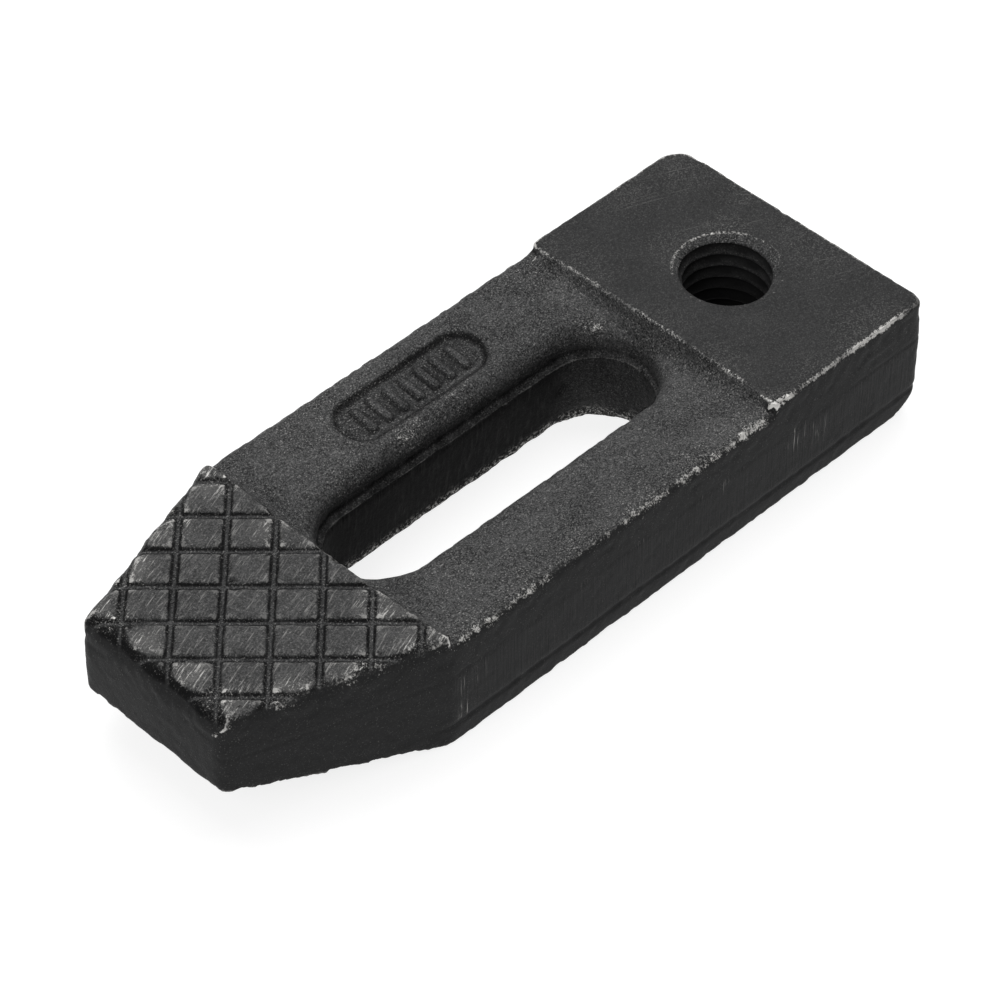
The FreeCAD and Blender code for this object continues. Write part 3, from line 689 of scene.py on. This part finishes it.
def blackenedSteel(look):
    material = bpy.data.materials.new("blackenedSteel")
    sheet = NodeSheet(material)
    place = sheet.add("ShaderNodeTexCoord").outputs["Object"]
    coords = sheet.stretch(place, (1 / mm, 1 / mm, 1 / mm))
    times, plus, minus, ramp = sheet.times, sheet.plus, sheet.minus, sheet.ramp
    values = {}
    for name in ("ridge", "edgeWear", "fineWear", "nosePad", "tailPad", "groove", "side", "trimBand",
                 "lowStrip", "punched", "bore", "slotWall", "burr", "rubbed", "grooveAway", "edgeAway"):
        values[name] = sheet.add("ShaderNodeAttribute", attribute_name=name).outputs["Fac"]
    nosePad, tailPad = values["nosePad"], values["tailPad"]
    side, trimBand = values["side"], values["trimBand"]
    rubbed, burr = values["rubbed"], values["burr"]
    # painted shade in the grooves: their walls are dark, their floor lighter
    grooveWallShade = times(ramp(values["grooveAway"], 0.10, 0.34), 1 - look["grooveFloor"])
    values["groove"] = times(values["groove"], plus(look["grooveFloor"], grooveWallShade))
    # painted shade: the slot's walls and the inside of the hole are darkened towards black, as shade falls
    # there
    paintedInnerShade = sheet.most(times(values["slotWall"], look["wallShade"]), times(values["bore"], look["boreShade"]))

    # blast grain, two sizes, and slow patches of tone
    patches = sheet.noise(coords, look["patchScale"], 3.0, 0.6)
    grain = sheet.noise(coords, look["grainScale"], 3.0, 0.7)
    fine = sheet.noise(coords, look["fineScale"], 2.0, 0.8)
    # scratches: slanting over the nose pads, stray, and upright on the trimmed sides and the punched wall
    ground = sheet.noise(sheet.turned(coords, look["padTurn"], look["padScratch"]), 1.0, 3.0, 0.75)
    stray = sheet.noise(sheet.turned(coords, look["strayTurn"], look["strayScratch"]), 1.0, 2.0, 0.6)
    upright = sheet.noise(sheet.stretch(coords, look["streak"]), 1.0, 3.0, 0.7)

    calm = sheet.most(times(tailPad, 0.50), sheet.most(times(side, 0.75), times(nosePad, 0.35)))
    calm = sheet.most(calm, times(values["bore"], 0.9))
    mottle = plus(times(ramp(patches, 0.35, 0.68), look["patchShare"]),
                  plus(times(ramp(grain, 0.34, 0.70), look["grainShare"]),
                       times(ramp(fine, 0.39, 0.63), look["fineShare"])))
    tone = plus(times(mottle, minus(1.0, calm)), times(calm, look["calmTone"]))
    # darker tone: the smoother tail pad, painted shade on upright sides and in the grooves and panel lines,
    # and darker towards the bottom of the sides
    for name, shade in (("tailPad", "padShade"), ("side", "sideShade"), ("lowStrip", "lowShade"),
                        ("groove", "grooveShade")):
        tone = times(tone, minus(1.0, times(values[name], look[shade])))
    oxide = sheet.mixColour(tone, look["oxideDark"], look["oxideLight"])
    # painted shade in the slot, the hole and the grooves, mixed towards black
    paintedShadeToBlack = sheet.most(paintedInnerShade, times(values["groove"], look["grooveBlack"]))
    oxide = sheet.mixColour(paintedShadeToBlack, oxide, look["shadeBlack"])

    # thin rubbed film: pads, grinding, streaks on the trimmed sides
    film = times(nosePad, plus(0.02, times(ramp(ground, 0.48, 0.72), 0.55)))
    film = plus(film, times(times(nosePad, rubbed), times(ramp(patches, 0.3, 0.6), 0.45)))
    film = plus(film, times(trimBand, times(ramp(upright, 0.55, 0.80), plus(0.06, rubbed))))
    film = plus(film, times(tailPad, times(ramp(stray, 0.60, 0.80), plus(0.16, times(rubbed, 0.5)))))
    film = plus(film, times(times(rubbed, minus(1.0, side)), times(ramp(fine, 0.46, 0.66), 0.45)))
    film = times(film, minus(1.0, paintedInnerShade))
    film = plus(film, times(values["punched"], times(ramp(upright, 0.45, 0.80), 0.14)))
    colour = sheet.mixColour(sheet.clamp(film), oxide, look["scuff"])

    # knocked edges, bright where the plate is rubbed
    ridge = times(times(values["ridge"], rubbed), minus(1.20, times(tailPad, 0.85)))
    worn = plus(plus(values["edgeWear"], times(values["fineWear"], 0.35)), times(minus(grain, 0.5), 2.2))
    worn = plus(worn, plus(ridge, times(minus(patches, 0.5), 1.4)))
    worn = plus(worn, times(minus(fine, 0.5), 2.6))
    knocks = times(ramp(worn, *look["edgeWorn"]), times(plus(0.16, rubbed), minus(1.0, times(nosePad, 0.35))))
    # thin broken line along the edges
    strand = plus(plus(times(rubbed, 0.8), times(minus(patches, 0.5), 1.3)),
                  plus(times(minus(grain, 0.5), 2.6), times(minus(fine, 0.5), 2.2)))
    strand = times(minus(1.0, ramp(values["edgeAway"], *look["edgeLine"])),
                   times(ramp(strand, *look["lineWorn"]), look["lineBright"]))
    # fine specks, deep scratches and streaks
    specks = times(times(ramp(fine, *look["speck"]), minus(1.0, calm)),
                   plus(look["speckShare"], times(rubbed, 0.30)))
    specks = times(specks, minus(1.0, times(tailPad, 0.6)))
    scrape = times(times(ramp(ground, 0.57, 0.70), nosePad), plus(0.22, times(rubbed, 0.9)))
    streaks = times(times(ramp(upright, 0.58, 0.72), trimBand), times(rubbed, 0.55))
    bare = sheet.most(sheet.most(sheet.most(knocks, strand), specks), sheet.most(scrape, streaks))
    bare = times(bare, minus(1.0, paintedInnerShade))
    ragged = ramp(plus(grain, times(minus(fine, 0.5), 0.6)), 0.50, 0.62)
    bare = sheet.clamp(sheet.most(bare, times(burr, times(ragged, 0.7))))
    colour = sheet.mixColour(bare, colour, look["bare"])

    shader = sheet.add("ShaderNodeBsdfPrincipled")
    shader.inputs["Specular IOR Level"].default_value = look["gloss"]
    sheet.join(colour, shader, "Base Color")
    sheet.join(times(bare, 0.45), shader, "Metallic")
    rough = plus(look["oxideRough"], times(minus(fine, 0.5), 0.3))
    rough = minus(rough, times(bare, look["oxideRough"] - look["bareRough"]))
    sheet.join(plus(rough, times(paintedInnerShade, 0.3)), shader, "Roughness")

    pebbles = plus(times(grain, 0.60), times(fine, 0.40))
    height = times(pebbles, minus(1.0, calm))
    height = plus(height, times(nosePad, times(ground, 0.35)))
    height = plus(height, times(sheet.most(trimBand, values["punched"]), times(upright, 0.6)))
    relief = sheet.add("ShaderNodeBump")
    relief.inputs["Strength"].default_value = 1.0
    relief.inputs["Distance"].default_value = look["grainDepth"] * mm
    sheet.join(height, relief, "Height")
    sheet.join(relief.outputs[0], shader, "Normal")
    output = sheet.add("ShaderNodeOutputMaterial")
    sheet.join(shader.outputs[0], output, "Surface")
    return material


plate.data.materials.clear()
plate.data.materials.append(blackenedSteel(steelLook))
print("finish done")


# studio
studioLook = {"floorColour": (0.30, 0.30, 0.30), "floorGlow": 0.80, "floorHalf": 1.6, "sky": 0.36,
              "lamps": [("overhead", (-0.30, -0.30, 0.75), 0.9, 8.3),
                        ("front", (0.7, 0.2, 0.60), 0.6, 2.5)]}


def makeStudio(look):
    h = look["floorHalf"]
    data = bpy.data.meshes.new("studioFloor")
    data.from_pydata([(-h, -h, 0), (h, -h, 0), (h, h, 0), (-h, h, 0)], [], [(0, 1, 2, 3)])
    floor = bpy.data.objects.new("studioFloor", data)
    bpy.context.collection.objects.link(floor)
    floor.location.z = -0.02 * mm
    material = bpy.data.materials.new("paleFloor")
    sheet = NodeSheet(material)
    shader = sheet.add("ShaderNodeBsdfPrincipled")
    shader.inputs["Base Color"].default_value = (*look["floorColour"], 1)
    shader.inputs["Roughness"].default_value = 0.9
    shader.inputs["Emission Color"].default_value = (1, 1, 1, 1)
    shader.inputs["Emission Strength"].default_value = look["floorGlow"]
    shader.inputs["Specular IOR Level"].default_value = 0.1
    output = sheet.add("ShaderNodeOutputMaterial")
    sheet.join(shader.outputs[0], output, "Surface")
    data.materials.append(material)

    world = bpy.data.worlds.new("softRoom")
    world.use_nodes = True
    world.node_tree.nodes["Background"].inputs["Color"].default_value = (1, 1, 1, 1)
    world.node_tree.nodes["Background"].inputs["Strength"].default_value = look["sky"]
    bpy.context.scene.world = world
    for name, spot, size, power in look["lamps"]:
        lamp = bpy.data.lights.new(name, "AREA")
        lamp.shape = "SQUARE"
        lamp.size = size
        lamp.energy = power
        holder = bpy.data.objects.new(name, lamp)
        bpy.context.collection.objects.link(holder)
        holder.location = spot
        holder.rotation_mode = "QUATERNION"
        holder.rotation_quaternion = (-Vector(spot)).to_track_quat("-Z", "Y")
    bpy.context.scene.view_settings.view_transform = "Standard"


makeStudio(studioLook)
print("studio done")
